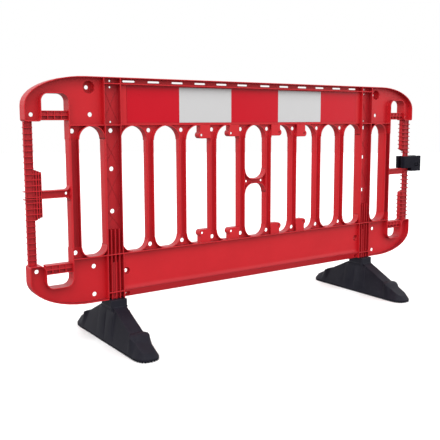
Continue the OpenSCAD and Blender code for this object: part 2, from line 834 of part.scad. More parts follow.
module upper_link() { link(panel_top - upper_window_gap - upper_window_h - link_h); }
module lower_link() { link(panel_lo + lower_window_gap + lower_window_h); }

module left_upper_link() { color(panel_red) in_frame() mirror([1, 0, 0]) upper_link(); }
module right_upper_link() { color(panel_red) in_frame() upper_link(); }
module left_lower_link() { color(panel_red) in_frame() mirror([1, 0, 0]) lower_link(); }
module right_lower_link() { color(panel_red) in_frame() lower_link(); }

// Ribbed bar between the horns: narrow at the outer edge, widened inward over part of its height
module grip_wide(z0, z1, step0, step1) {
    x_in = end_x - grip_inset - grip_wide_w;
    x_mid = end_x - grip_inset - grip_w;
    polygon([[x_mid, z0], [x_in, z0 + step0], [x_in, z1 - step1], [x_mid, z1]]);
}

module grip_strip(wide_zones) {
    x_out = end_x - grip_inset;
    rect(x_out - grip_w, grip_lo, x_out, grip_hi);
    for (zone = wide_zones) grip_wide(zone[0], zone[1], zone[2], zone[3]);
}

module grip(wide_zones) {
    x_out = end_x - grip_inset;
    ribs = floor((grip_hi - grip_lo) / grip_rib_pitch);
    slab(grip_t) grip_strip(wide_zones);
    slab(grip_edge_depth) {
        rect(x_out - grip_w, grip_lo, x_out - grip_w + grip_rib_t, grip_hi);
        rect(x_out - grip_rib_t, grip_lo, x_out, grip_hi);
    }
    slab(grip_rib_depth) intersection() {
        union() {
            for (i = [1 : ribs - 1])
                translate([x_out, grip_lo + i * (grip_hi - grip_lo) / ribs])
                    rect(-grip_wide_w, -grip_rib_t / 2, grip_rib_past, grip_rib_t / 2);
            for (i = [1 : grip_wide_ribs])
                translate([x_out - grip_w - i * (grip_wide_w - grip_w) / grip_wide_ribs, grip_lo])
                    rect(0, 0, grip_rib_t, grip_hi - grip_lo);
        }
        union() {
            rect(x_out - grip_w, grip_lo, x_out + grip_rib_past, grip_hi);
            for (zone = wide_zones) grip_wide(zone[0], zone[1], zone[2], zone[3]);
        }
    }
}

module left_ribbed_bar() {
    x_out = end_x - grip_inset;
    color(panel_red) in_frame() mirror([1, 0, 0]) {
        grip([[crossbar_z - left_wide_half, crossbar_z + left_wide_half, grip_step_h, grip_step_h]]);
        slab(grip_rib_depth) for (side = [-1, 1])
            translate([x_out, crossbar_z + side * crossbar_h / 2])
                rect(-grip_wide_w, -grip_rib_t / 2, catch_past, grip_rib_t / 2);
    }
}

module right_ribbed_bar() {
    color(panel_red) in_frame() grip([
        [grip_lo, crossbar_z - right_narrow_half, 0, grip_step_h],
        [crossbar_z + right_narrow_half, grip_hi, grip_step_h, 0]]);
}

// Reflective sheets, numbered from the left as seen from the front
module sheet(number, face) {
    sheet_w = 2 * (post_in_x - sheet_side_gap) / sheet_count;
    x0 = sheet_side_gap - post_in_x + number * sheet_w;
    end = post_in_x - sheet_end_gap;
    color(number % 2 == 0 ? sheet_red : sheet_white) in_frame()
        slab(sheet_t, face * (board_t + sheet_t) / 2)
            rect(max(x0, -end), upper_ledge + sheet_bottom_gap,
                min(x0 + sheet_w, end), rail_lo - sheet_top_gap);
}

module front_red_sheet_left() { sheet(0, -1); }
module front_white_sheet_left() { sheet(1, -1); }
module front_red_sheet_middle() { sheet(2, -1); }
module front_white_sheet_right() { sheet(3, -1); }
module front_red_sheet_right() { sheet(4, -1); }
module rear_red_sheet_left() { sheet(0, 1); }
module rear_white_sheet_left() { sheet(1, 1); }
module rear_red_sheet_middle() { sheet(2, 1); }
module rear_white_sheet_right() { sheet(3, 1); }
module rear_red_sheet_right() { sheet(4, 1); }

// Foot: a long sole with oval ends, a ridge that rises to the neck, a buttress under the neck,
// and a hollow with cross ribs underneath
module sole_outline(w, l) {
    polygon(concat(arc(0, l / 2 - sole_tip_l, w / 2, sole_tip_l, 0, 180),
        arc(0, sole_tip_l - l / 2, w / 2, sole_tip_l, 180, 360)));
}

module block(w, l, z, h) {
    translate([-w / 2, -l / 2, z]) cube([w, l, h]);
}

module ridge(w, top_l, top_z, end_l, end_z, sole_w, sole_l, sole_top) {
    hull() {
        translate([-w / 2, 0, 0]) rotate([90, 0, 90]) linear_extrude(w)
            polygon([[-end_l / 2, sole_top], [end_l / 2, sole_top], [end_l / 2, end_z],
                [top_l / 2, top_z], [-top_l / 2, top_z], [-end_l / 2, end_z]]);
        linear_extrude(sole_top) sole_outline(sole_w, sole_l);
    }
}

module nub() {
    rise = (shoulder - ridge_end_h) / ((ridge_end_l - ridge_top_l) / 2);
    root_z = shoulder - rise * (nub_out - ridge_top_l / 2);
    drop = rise * nub_l;
    translate([-nub_w / 2, 0, 0]) rotate([90, 0, 90]) linear_extrude(nub_w)
        polygon([[nub_out, root_z - nub_h], [nub_out, root_z],
            [nub_out + nub_h, root_z + nub_h - rise * nub_h],
            [nub_out + nub_l, root_z + nub_h - drop], [nub_out + nub_l, root_z - nub_h - drop]]);
}

module foot_hollow() {
    difference() {
        translate([0, 0, -over]) ridge(ridge_w - 2 * foot_wall, ridge_top_l - 2 * foot_wall,
            shoulder - foot_wall, ridge_end_l - 2 * foot_wall, ridge_end_h - foot_wall,
            foot_w - 2 * foot_wall, foot_length - 4 * foot_wall, sole_h - foot_wall + over);
        cylinder(h = shoulder, d = spigot_d + 2 * foot_wall);
        for (y = [-nub_out, 0, nub_out]) translate([0, y, 0]) block(foot_w, foot_wall, -over, shoulder);
    }
}

// Notches all round the edge of the sole
module notch() {
    translate([-tread_depth, -tread_w / 2, 0]) cube([tread_depth + over, tread_w, tread_h + over]);
}

module tread() {
    tip_y = foot_length / 2 - sole_tip_l;
    side_notches = floor(2 * tip_y / tread_pitch);
    for (side = [0, 1], i = [0 : tread_notches - 1]) {
        a = 180 * (i + 0.5) / tread_notches;
        mirror([0, side, 0]) translate([foot_w / 2 * cos(a), tip_y + sole_tip_l * sin(a), -over])
            rotate([0, 0, atan2(foot_w / 2 * sin(a), sole_tip_l * cos(a))])
                notch();
    }
    for (side = [0, 1], i = [0 : side_notches - 1])
        mirror([side, 0, 0]) translate([foot_w / 2, (i + 0.5 - side_notches / 2) * tread_pitch, -over])
            notch();
}

module foot() {
    difference() {
        union() {
            ridge(ridge_w, ridge_top_l, shoulder, ridge_end_l, ridge_end_h, foot_w, foot_length, sole_h);
            hull() {
                block(neck_w, buttress_l, buttress_hi - over, over);
                block(foot_w - 2 * over, buttress_l, sole_h - over, over);
            }
            block(neck_w, neck_l, buttress_hi - over, panel_lo - seat_gap - buttress_hi + over);
            nub();
            mirror([0, 1, 0]) nub();
        }
        foot_hollow();
        translate([0, 0, panel_lo - spigot_in_foot]) cylinder(h = spigot_in_foot + over, d = spigot_d);
        tread();
    }
}

module left_foot() { color(moulded_black) in_frame() translate([-post_x, 0, 0]) foot(); }
module right_foot() { color(moulded_black) in_frame() translate([post_x, 0, 0]) foot(); }

// Spigot pressed into the foot, with a split head that snaps open above the post's plain bore
module spigot() {
    head_z = panel_lo + socket_bore_l + seat_gap;
    top_z = head_z + spigot_head_h + spigot_nose_h;
    slit_z = panel_lo + socket_bore_l / 2;
    difference() {
        rotate_extrude() polygon([[0, panel_lo - spigot_in_foot], [spigot_d / 2, panel_lo - spigot_in_foot],
            [spigot_d / 2, head_z], [spigot_head_d / 2, head_z], [spigot_head_d / 2, head_z + spigot_head_h],
            [spigot_d / 3, top_z], [0, top_z]]);
        translate([-spigot_head_d / 2, -spigot_slit / 2, slit_z])
            cube([spigot_head_d, spigot_slit, top_z - slit_z + over]);
    }
}

module left_spigot() { color(moulded_black) in_frame() translate([-post_x, 0, 0]) spigot(); }
module right_spigot() { color(moulded_black) in_frame() translate([post_x, 0, 0]) spigot(); }

// Link clip: two open jaws back to back, one round the ribbed bar and one for the next panel's bar
module clip_plan() {
    x1 = clip_pitch + clip_out;
    difference() {
        polygon(rounded(-clip_in, -clip_depth / 2, x1, clip_depth / 2, clip_r, clip_r));
        for (x = [0, clip_pitch]) translate([x, 0]) circle(r = jaw_r);
        rect(-clip_in - over, -mouth_w / 2, 0, mouth_w / 2);
        rect(clip_pitch, -mouth_w / 2, x1 + over, mouth_w / 2);
    }
}

module link_clip() {
    color(moulded_black) in_frame() translate([grip_x, 0, clip_lo]) difference() {
        linear_extrude(clip_h) clip_plan();
        translate([-clip_in - over, -clip_depth / 2 - over, -over])
            cube([clip_in + jaw_r + over, clip_depth + 2 * over, clip_skirt_h + over]);
        for (side = [0, 1]) mirror([0, side, 0])
            translate([clip_pitch, -clip_depth / 2 + oval_depth, oval_rise]) rotate([90, 0, 0])
                linear_extrude(oval_depth + over)
                    polygon(rounded(-oval_l / 2, -oval_h / 2, oval_l / 2, oval_h / 2,
                        (oval_h - hair) / 2, (oval_h - hair) / 2));
    }
}

upper_board();
lower_board();
left_post();
right_post();
baluster_1();
baluster_2();
baluster_3();
baluster_4();
baluster_5();
baluster_6();
baluster_7();
baluster_8();
centre_tie();
left_upper_corner();
right_upper_corner();
left_lower_corner();
right_lower_corner();
left_end_bar();
right_end_bar();
left_crossbar();
right_crossbar();
left_upper_link();
right_upper_link();
left_lower_link();
right_lower_link();
left_ribbed_bar();
right_ribbed_bar();
front_red_sheet_left();
front_white_sheet_left();
front_red_sheet_middle();
front_white_sheet_right();
front_red_sheet_right();
rear_red_sheet_left();
rear_white_sheet_left();
rear_red_sheet_middle();
rear_white_sheet_right();
rear_red_sheet_right();
left_foot();
right_foot();
left_spigot();
right_spigot();
link_clip();
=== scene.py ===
import json
import math

import bmesh
import bpy
import numpy as np
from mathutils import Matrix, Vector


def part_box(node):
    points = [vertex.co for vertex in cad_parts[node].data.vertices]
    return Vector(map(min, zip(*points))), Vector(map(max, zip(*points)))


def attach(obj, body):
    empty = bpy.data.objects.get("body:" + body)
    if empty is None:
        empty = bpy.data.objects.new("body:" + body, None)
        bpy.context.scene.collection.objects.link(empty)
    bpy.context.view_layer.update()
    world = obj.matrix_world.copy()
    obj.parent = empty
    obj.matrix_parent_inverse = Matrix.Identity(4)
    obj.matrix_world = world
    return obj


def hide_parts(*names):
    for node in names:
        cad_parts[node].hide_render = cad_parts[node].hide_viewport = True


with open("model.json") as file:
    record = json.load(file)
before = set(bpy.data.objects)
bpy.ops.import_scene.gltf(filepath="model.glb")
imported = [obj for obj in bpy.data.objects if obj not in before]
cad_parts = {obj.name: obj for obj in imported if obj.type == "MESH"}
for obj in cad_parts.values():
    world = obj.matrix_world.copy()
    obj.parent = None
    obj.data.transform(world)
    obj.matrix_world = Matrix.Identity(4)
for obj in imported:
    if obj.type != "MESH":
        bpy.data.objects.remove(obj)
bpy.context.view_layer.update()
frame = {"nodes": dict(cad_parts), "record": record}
nodes = frame["nodes"]
scene = bpy.context.scene
print("frame loaded:", len(nodes), "nodes")


class Wire:  # a node socket that takes part in sums: each operator adds one Math node
    def __init__(self, tree, socket):
        self.tree = tree
        self.socket = socket

    def node(self, kind, settings=None, inputs=None, out=0):  # settings first, then values or links
        made = self.tree.nodes.new(kind)
        for key, value in (settings or {}).items():
            if key == "stops":  # (position, grey level) pairs of a colour ramp
                ramp = made.color_ramp
                while len(ramp.elements) < len(value):
                    ramp.elements.new(0.5)
                for element, (place, level) in zip(ramp.elements, value):
                    element.position = place
                    element.color = (level, level, level, 1)
            else:
                setattr(made, key, value)
        for key, value in (inputs or {}).items():
            if isinstance(value, Wire):
                self.tree.links.new(value.socket, made.inputs[key])
            else:
                made.inputs[key].default_value = value
        return Wire(self.tree, made.outputs[out]) if len(made.outputs) else None

    def math(self, operation, first, second):
        return self.node("ShaderNodeMath", {"operation": operation}, {0: first, 1: second})

    def sine(self):
        return self.math("SINE", self, 0)

    def __add__(self, other):
        return self.math("ADD", self, other)

    def __sub__(self, other):
        return self.math("SUBTRACT", self, other)

    def __rsub__(self, other):
        return self.math("SUBTRACT", other, self)

    def __mul__(self, other):
        return self.math("MULTIPLY", self, other)

    __radd__ = __add__
    __rmul__ = __mul__


def newFinish(name):  # an empty material and the wire of its Object coordinates, in metres
    finish = bpy.data.materials.new(name)
    finish.use_nodes = True
    tree = finish.node_tree
    tree.nodes.clear()
    return finish, Wire(tree, None).node("ShaderNodeTexCoord", out="Object")


def cloud(at, scale, detail, stretch=(1, 1, 1), rough=0.55):  # noise from 0 to 1, stretched along the axes
    place = at.node("ShaderNodeMapping", inputs={"Vector": at, "Scale": stretch})
    inputs = {"Vector": place, "Scale": scale, "Detail": detail, "Roughness": rough}
    return at.node("ShaderNodeTexNoise", inputs=inputs)


def steps(wire, *stops):  # the value bent through a ramp
    return wire.node("ShaderNodeValToRGB", {"stops": stops}, {"Fac": wire})


def blendColor(share, low, high):
    return share.node("ShaderNodeMix", {"data_type": "RGBA"}, {"Factor": share, 6: low, 7: high}, out=2)


def softEdge(at, radius):  # the normal rounded over sharp edges
    return at.node("ShaderNodeBevel", {"samples": 6}, {"Radius": radius})


def edgeMask(at, soft):  # 1 along sharp edges: how far the rounded normal turns from the face's own
    true = at.node("ShaderNodeNewGeometry", out="True Normal")
    same = at.node("ShaderNodeVectorMath", {"operation": "DOT_PRODUCT"}, {0: soft, 1: true}, out="Value")
    return steps(1 - same, (0.02, 0), (0.22, 1))


def recessMask(at, reach, alone):  # 0 on open faces, towards 1 in channels and corners: the mask of painted shade and painted bounce light
    settings = {"samples": 8, "only_local": alone}
    return 1 - at.node("ShaderNodeAmbientOcclusion", settings, {"Distance": reach}, out="AO")


def facing(at, axis):  # how far a face looks along an axis, -1 to 1
    normal = at.node("ShaderNodeNewGeometry", out="Normal")
    return at.node("ShaderNodeSeparateXYZ", inputs={"Vector": normal}, out=axis)


def closeFinish(at, color, roughness, height, depth, soft, gloss):  # height: bump over the soft normal
    relief = {"Height": height, "Distance": depth, "Strength": 1.0, "Normal": soft}
    bump = at.node("ShaderNodeBump", inputs=relief)
    look = {"Base Color": color, "Roughness": roughness, "Normal": bump, "Specular IOR Level": gloss}
    shader = at.node("ShaderNodeBsdfPrincipled", inputs=look)
    at.node("ShaderNodeOutputMaterial", inputs={"Surface": shader})


# Moulded red plastic of the panel: satin, a little mottled, paler on edges (partly rubbed wear, partly
# painted highlight), with painted shade in hollows, on undersides and on upward faces, and painted bounce
# light on the side walls of channels
redPlastic = {
    "deep": (0.55, 0.009, 0.016, 1), "lit": (0.62, 0.012, 0.020, 1), "rubbed": (0.66, 0.05, 0.058, 1),
    "dust": (0.50, 0.10, 0.09, 1), "paintedShade": (0.27, 0.012, 0.019, 1), "paintedBounce": (0.95, 0.030, 0.042, 1),
    "mottle": {"scale": 4, "detail": 4}, "mottleSteps": ((0.35, 0), (0.65, 1)), "mottleBump": 0.4,
    "streaks": {"scale": 1, "detail": 3, "stretch": (70, 70, 5)},
    "scuffs": {"scale": 1, "detail": 5, "stretch": (45, 45, 160), "rough": 0.7},
    "scuffSteps": ((0.62, 0), (0.70, 1)), "scuffShare": 0.16,
    "grain": {"scale": 1500, "detail": 2}, "grainDepth": 0.00006, "edgeRadius": 0.0025, "edgeWearAndHighlightShare": 0.25,
    "shadeReach": 0.06, "shadeSteps": ((0, 0), (0.40, 0.56), (0.60, 0.50)), "cornersFrom": 0.85,
    "underShadeShare": 0.55, "upShadeShare": 0.75,
    "roughness": 0.37, "mottleRough": 0.10, "streakRough": 0.12, "scuffRough": 0.10, "gloss": 0.28,
    "kinds": {  # share of painted shade in hollows, what is left of it in the deepest corners, share of painted bounce light on channels' side walls
        "mouldedRed": (0.45, 0.2, 0.7), "channelRed": (1.0, 0.24, 0), "ribbedRed": (1.1, 0.6, 0),
    },
    "channelNodes": ("post", "end_bar"), "ribbedNodes": ("ribbed_bar", "link"),  # get more painted shade than boards
}


def makeRedPlastic(name):
    s = redPlastic
    shadeShare, cornerShare, bounceShare = s["kinds"][name]
    finish, at = newFinish(name)
    mottle = cloud(at, **s["mottle"])
    streaks = cloud(at, **s["streaks"])
    grain = cloud(at, **s["grain"])
    scuffs = steps(cloud(at, **s["scuffs"]), *s["scuffSteps"])
    body = blendColor(steps(mottle, *s["mottleSteps"]), s["deep"], s["lit"])
    soft = softEdge(at, s["edgeRadius"])
    recess = recessMask(at, s["shadeReach"], True)
    # painted shade in hollows, from ambient occlusion, lessened again in the deepest corners
    paintedShade = steps(recess, *s["shadeSteps"], (s["cornersFrom"], cornerShare)) * shadeShare
    up = facing(at, "Z")
    under = at.math("MAXIMUM", up * -1, 0) * s["underShadeShare"]  # painted shade on undersides
    upShade = at.math("MAXIMUM", up, 0) * s["upShadeShare"]  # painted shade on upward faces
    # all the painted shade, in hollows, on undersides and on upward faces
    body = blendColor(paintedShade + under + upShade, body, s["paintedShade"])
    if bounceShare:
        # painted bounce light: a brighter red on the side walls of recesses
        side = at.math("POWER", facing(at, "X"), 2)
        body = blendColor(side * recess * bounceShare, body, s["paintedBounce"])
    # paler edges: partly rubbed wear, partly painted edge highlight
    body = blendColor(edgeMask(at, soft) * s["edgeWearAndHighlightShare"], body, s["rubbed"])
    body = blendColor(scuffs * s["scuffShare"], body, s["dust"])
    worn = mottle * s["mottleRough"] + streaks * s["streakRough"] + scuffs * s["scuffRough"]
    height = grain + mottle * s["mottleBump"]
    closeFinish(at, body, worn + s["roughness"], height, s["grainDepth"], soft, s["gloss"])
    return finish


# Reflective sheet: a clear face over a fine lattice of cells, with faint handling marks and a painted shadow
# under the rail's overhang
reflectiveSheet = {
    "tints": {  # darkest and lightest colour, and the colour of the painted shadow under the rail's overhang
        "red": ((0.53, 0.002, 0.013, 1), (0.61, 0.003, 0.016, 1), (0.15, 0.003, 0.008, 1)),
        "white": ((0.57, 0.565, 0.57, 1), (0.64, 0.635, 0.635, 1), (0.10, 0.09, 0.09, 1)),
    },
    "cellPitch": 0.0042, "cellTilt": 45, "cellSteps": ((0.25, 0), (0.75, 1)), "cellDepth": 0.00003,
    "haze": {"scale": 9, "detail": 4}, "cellShare": 0.35, "hazeShare": 0.55,
    "marks": {"scale": 1, "detail": 4, "stretch": (30, 30, 220), "rough": 0.7},
    "markSteps": ((0.60, 0), (0.68, 1)), "overhangShadowReach": 0.05, "overhangShadowShare": 1.5, "edgeRadius": 0.0004,
    "roughness": 0.23, "hazeRough": 0.14, "markRough": 0.12, "gloss": 0.16,
}


def makeSheet(name, tint):
    s = reflectiveSheet
    dark, light, overhangShadow = s["tints"][tint]
    finish, at = newFinish(name)
    tilt = (0, math.radians(s["cellTilt"]), 0)
    turned = {"Vector": at.node("ShaderNodeMapping", inputs={"Vector": at, "Rotation": tilt})}
    turns = 2 * math.pi / s["cellPitch"]
    along, up = (at.node("ShaderNodeSeparateXYZ", inputs=turned, out=axis) * turns for axis in ("X", "Z"))
    lattice = along.sine() * up.sine()
    cells = steps(lattice * 0.5 + 0.5, *s["cellSteps"])
    haze = cloud(at, **s["haze"])
    marks = steps(cloud(at, **s["marks"]), *s["markSteps"])
    body = blendColor(cells * s["cellShare"] + haze * s["hazeShare"], dark, light)
    # painted shadow from the rail's overhang and other neighbouring parts, by ambient occlusion that sees the
    # whole scene
    body = blendColor(recessMask(at, s["overhangShadowReach"], False) * s["overhangShadowShare"], body, overhangShadow)
    roughness = haze * s["hazeRough"] + marks * s["markRough"] + s["roughness"]
    closeFinish(at, body, roughness, cells, s["cellDepth"], softEdge(at, s["edgeRadius"]), s["gloss"])
    return finish


# Black plastic of the feet, spigots and clip: recycled, matt, cloudy, with grey scuffs, and paler edges that
# are partly wear and partly painted edge highlight
blackPlastic = {
    "deep": (0.007, 0.0065, 0.0135), "worn": (0.016, 0.0155, 0.0245), "dust": (0.050, 0.048, 0.060, 1),
    "mottle": {"scale": 14, "detail": 5}, "mottleSteps": ((0.3, 0), (0.7, 1)), "mottleBump": 0.6,
    "scuffs": {"scale": 1, "detail": 5, "stretch": (90, 25, 60), "rough": 0.7},
    "scuffSteps": ((0.58, 0), (0.70, 1)), "edgeRadius": 0.005, "edgeWearAndHighlightShare": 0.45,
    "grain": {"scale": 700, "detail": 3}, "grainDepth": 0.00018, "mottleRough": 0.16, "scuffRough": 0.10,
    "kinds": {  # share of dust in the scuffs, roughness, how light the blacks are, gloss
        "mattBlack": (0.25, 0.45, 0.85, 0.14), "nylonBlack": (0.05, 0.32, 1.0, 0.2),
        "clipBlack": (0.10, 0.35, 0.75, 0.06),
    },
}


def makeBlackPlastic(name):
    s = blackPlastic
    dustShare, roughness, tone, gloss = s["kinds"][name]
    deep, worn = ((*(tone * level for level in s[key]), 1) for key in ("deep", "worn"))
    finish, at = newFinish(name)
    mottle = cloud(at, **s["mottle"])
    grain = cloud(at, **s["grain"])
    scuffs = steps(cloud(at, **s["scuffs"]), *s["scuffSteps"])
    body = blendColor(steps(mottle, *s["mottleSteps"]), deep, worn)
    soft = softEdge(at, s["edgeRadius"])
    # paler edges, partly wear and partly painted edge highlight, and grey scuffs
    body = blendColor(edgeMask(at, soft) * s["edgeWearAndHighlightShare"] + scuffs * dustShare, body, s["dust"])
    rubbed = mottle * s["mottleRough"] + scuffs * s["scuffRough"] + roughness
    closeFinish(at, body, rubbed, grain + mottle * s["mottleBump"], s["grainDepth"], soft, gloss)
    return finish


finishOf = {
    "panel_red": makeRedPlastic("mouldedRed"),
    "sheet_red": makeSheet("reflectiveRed", "red"),
    "sheet_white": makeSheet("reflectiveWhite", "white"),
    "foot_black": makeBlackPlastic("mattBlack"),
    "spigot_black": makeBlackPlastic("nylonBlack"),
    "clip_black": makeBlackPlastic("clipBlack"),
}
channelRed = makeRedPlastic("channelRed")
ribbedRed = makeRedPlastic("ribbedRed")
for entry in frame["record"]["subparts"]:
    node, slot = entry["node"], entry["material_slot"]
    finish = finishOf[slot]
    for words, other in (("channelNodes", channelRed), ("ribbedNodes", ribbedRed)):
        if slot == "panel_red" and any(word in node for word in redPlastic[words]):
            finish = other
    nodes[node].data.materials.clear()
    nodes[node].data.materials.append(finish)
print("finishes given to", len(nodes), "nodes")


def ease(low, high, v):  # 0 below low, 1 above high, smooth between
    share = np.clip((v - low) / (high - low), 0, 1)
    return share * share * (3 - 2 * share)


def within(limit, blend, v):  # 1 below the limit, 0 above it, smooth across the blend on both sides
    return 1 - ease(limit - blend, limit + blend, v)


def between(low, high, share):
    return low + (high - low) * share


def gridFaces(rows, columns):  # quads of a grid whose columns close into a ring
    i, j = np.meshgrid(np.arange(rows - 1), np.arange(columns), indexing="ij")
    k = (j + 1) % columns
    corners = [i * columns + j, i * columns + k, (i + 1) * columns + k, (i + 1) * columns + j]
    return np.stack(corners, -1).reshape(-1, 4)


mergeReach = 1e-5  # points of a closed seam or pole lie closer than this, in metres


def newPiece(name, points, faces, finish, body, crease):  # a closed surface that rides on a body
    mesh = bpy.data.meshes.new(name)
    mesh.from_pydata(points.tolist(), [], faces.tolist())
    work = bmesh.new()
    work.from_mesh(mesh)
    bmesh.ops.remove_doubles(work, verts=work.verts, dist=mergeReach)
    bmesh.ops.recalc_face_normals(work, faces=work.faces)
    work.to_mesh(mesh)
    work.free()
    mesh.polygons.foreach_set("use_smooth", np.ones(len(mesh.polygons), bool))
    mesh.set_sharp_from_angle(angle=math.radians(crease))
    mesh.materials.append(finish)
    piece = bpy.data.objects.new(name, mesh)
    scene.collection.objects.link(piece)
    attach(piece, body)
    return piece


# Foot: lengths in metres from the foot's middle on the ground; shares run from the sole's edge to the ridge
footForm = {
    "halfLength": 0.299, "halfWidth": 0.048, "tipLength": 0.066, "tipSquareness": 0.8, "ringSamples": 2001,
    "soleHeight": 0.012, "soleShare": 0.03, "flankShares": (0.2, 0.4, 0.6, 0.75, 0.85, 0.95, 1),
    "ridgeHalf": 0.0265, "tipHalf": 0.030, "ridgeEnd": 0.282, "ridgeTop": 0.051, "shoulder": 0.142,
    "ridgeEndHeight": 0.0295, "ridgeBend": 0.006, "endPower": 0.6,
    "neckHalf": 0.033, "neckLength": 0.044, "neckBlend": 0.0012, "neckTop": 0.1687,
    "collarOut": 0.13, "collarRises": (0, 0.010, 0.0115, 0.0155, 0.017),  # above the buttress
    "buttressLength": 0.066, "buttressBlend": 0.002, "buttressTop": 0.127, "buttressStepShare": 0.02,
    "buttressRises": (0, 0.001, 0.002, 0.003), "flute": 0.0052, "fluteSunk": 0.001,
    "fluteFoot": (0.014, 0.05), "fluteHead": (-0.008, 0.002),  # heights where it starts, and ends at the top
    "lug": (0.182, 0.196, 0.206, 0.231), "lugOut": 0.0125, "lugRise": 0.004, "lugDome": 0.003,
    "treadPitch": 0.012, "treadHeight": 0.0055, "treadTop": 0.0065, "treadEase": (0.35, 0.75),
    "treadShare": 0.10, "landShare": 0.06, "edgeTop": 0.0105, "columnsPerTread": 8, "rowsPerStep": 3,
    "bottomShare": 0.38, "hollowAcross": 0.62, "hollowAlong": 0.9, "hollowDrop": 0.012,
    "hollowHeights": (0.016, 0.088), "topShares": (0.9, 0.75, 0.5, 0.25, 0), "crease": 34,
}


def soleRing(s):
    # an oblong with elliptical ends, walked at equal steps from the middle of its +X side,
    # and a wave along it that is 1 in the gaps of the tread
    w, tip, side = s["halfWidth"], s["tipLength"], s["halfLength"] - s["tipLength"]
    a = np.linspace(0, np.pi, s["ringSamples"])
    across = w * np.sign(np.cos(a)) * np.abs(np.cos(a)) ** s["tipSquareness"]
    along = side + tip * np.sin(a) ** s["tipSquareness"]
    x = np.concatenate([[w], across, -across, [w]])
    y = np.concatenate([[0], along, -along, [0]])
    walked = np.concatenate([[0], np.cumsum(np.hypot(np.diff(x), np.diff(y)))])
    treads = 2 * round(walked[-1] / s["treadPitch"] / 2)
    count = treads * s["columnsPerTread"]
    at = np.arange(count) / count * walked[-1]
    wave = 0.5 - 0.5 * np.cos(2 * np.pi * np.arange(count) / s["columnsPerTread"])
    return np.interp(at, walked, x), np.interp(at, walked, y), ease(*s["treadEase"], wave)


def ridgeEdge(s, x, y):
    # the ridge's edge above each point of the sole's ring: the ring drawn in, wider at the neck and the lug,
    # at a height that falls in a straight line from the shoulder, with a rounded bend
    side = s["halfLength"] - s["tipLength"]
    drawnIn = s["ridgeEnd"] / s["halfLength"]
    inTip = np.clip((np.abs(y) - side) / s["tipLength"], 0, 1)
    tip = between(side * drawnIn, s["ridgeEnd"], inTip ** s["endPower"])
    away = np.where(inTip > 0, tip, np.abs(y) * drawnIn)
    inNeck = within(s["neckLength"], s["neckBlend"], away)
    inButtress = within(s["buttressLength"], s["buttressBlend"], away)
    start, full, fall, end = s["lug"]
    lug = np.clip((away - start) / (full - start), 0, 1) * (1 - ease(fall, end, away))
    half = between(s["ridgeHalf"], s["neckHalf"], inNeck) + s["lugOut"] * lug
    widening = np.clip((away - start) / (s["ridgeEnd"] - start), 0, 1)
    half = half + (s["tipHalf"] - s["ridgeHalf"]) * widening
    cx = np.sign(x) * half * (np.abs(x) / s["halfWidth"]) ** s["endPower"]
    slope = (s["shoulder"] - s["ridgeEndHeight"]) / (s["ridgeEnd"] - s["ridgeTop"])
    past = away - s["ridgeTop"]
    ridge = s["shoulder"] - slope * (past + np.hypot(past, s["ridgeBend"])) / 2
    return cx, np.sign(y) * away, ridge, inNeck, inButtress, lug


def flankSteps(s, ridge, inNeck, inButtress):
    # the steps of each column as shares g of the way to the ridge and heights z: a plain flank, a buttress
    # and a neck with a collar, each in eight steps, blended by how far the column lies in the last two
    sole, top, first = s["soleHeight"], s["buttressTop"], s["soleShare"]
    level = np.ones_like(ridge)
    plainG = np.array([first, *s["flankShares"]])[:, None] * level
    plainZ = between(sole, ridge, (plainG - first) / (1 - first))
    meet = (s["halfWidth"] - s["neckHalf"]) / (s["halfWidth"] - s["ridgeHalf"])
    buttressG = [first, meet / 2, meet, meet + s["buttressStepShare"], (1 + meet) / 2, 1, 1, 1]
    buttressG = np.array(buttressG)[:, None] * level
    rises = [sole, (sole + top) / 2, *(top + v for v in s["buttressRises"])]
    buttressZ = np.concatenate([np.array(rises)[:, None] * level, [(top + ridge) / 2, ridge]])
    collar = 1 - s["collarOut"]
    neckG = np.array([first, 0.5, 1, 1, collar, collar, 1, 1])[:, None] * level
    neckZ = [sole, (sole + top) / 2, *(top + v for v in s["collarRises"]), s["neckTop"]]
    neckZ = np.array(neckZ)[:, None] * level
    g = between(between(plainG, buttressG, inButtress), neckG, inNeck)
    z = between(between(plainZ, buttressZ, inButtress), neckZ, inNeck)
    return g, z


def footSurface(s):
    # each column climbs from the sole's ring P to the ridge's edge C: point = P + (C - P) g at height z,
    # with the tread under it, flutes on the buttress as the root of a sine, a hollow below and a domed lug
    x, y, gap = soleRing(s)
    cx, cy, ridge, inNeck, inButtress, lug = ridgeEdge(s, x, y)
    g, z = flankSteps(s, ridge, inNeck, inButtress)
    z[-1] = z[-1] + s["lugRise"] * lug
    level = np.ones_like(x)
    notch = s["treadShare"] * gap
    bottom = s["treadHeight"] * gap
    g = np.concatenate([[s["bottomShare"] * level, s["landShare"] + notch, notch, 0 * level], g])
    z = np.concatenate([[bottom, bottom, s["treadTop"] * level, s["edgeTop"] * level], z])
    last = len(g) - 1
    fine = np.linspace(0, last, last * s["rowsPerStep"] + 1)
    below = np.minimum(fine.astype(int), last - 1)
    share = (fine - below)[:, None]
    g = between(g[below], g[below + 1], share)
    z = between(z[below], z[below + 1], share)
    px = between(x, cx, g)
    py = between(y, cy, g)
    flute = s["flute"] * np.sqrt(np.abs(np.sin(np.pi * py / s["buttressLength"]))) - s["fluteSunk"]
    headFrom, headTo = (s["buttressTop"] + v for v in s["fluteHead"])
    fluted = inButtress * ease(*s["fluteFoot"], z) * (1 - ease(headFrom, headTo, z))
    px = px + np.sign(x) * flute * fluted
    inside = np.clip(z[-1] - s["hollowDrop"], *s["hollowHeights"])
    hollow = [np.stack([cx * k, cy * s["hollowAlong"], inside], -1) for k in (0, s["hollowAcross"])]
    dome = s["lugDome"] * lug
    top = [np.stack([cx * k, cy, z[-1] + dome * (1 - k ** 3)], -1) for k in s["topShares"]]
    return np.concatenate([hollow, np.stack([px, py, z], -1), top])


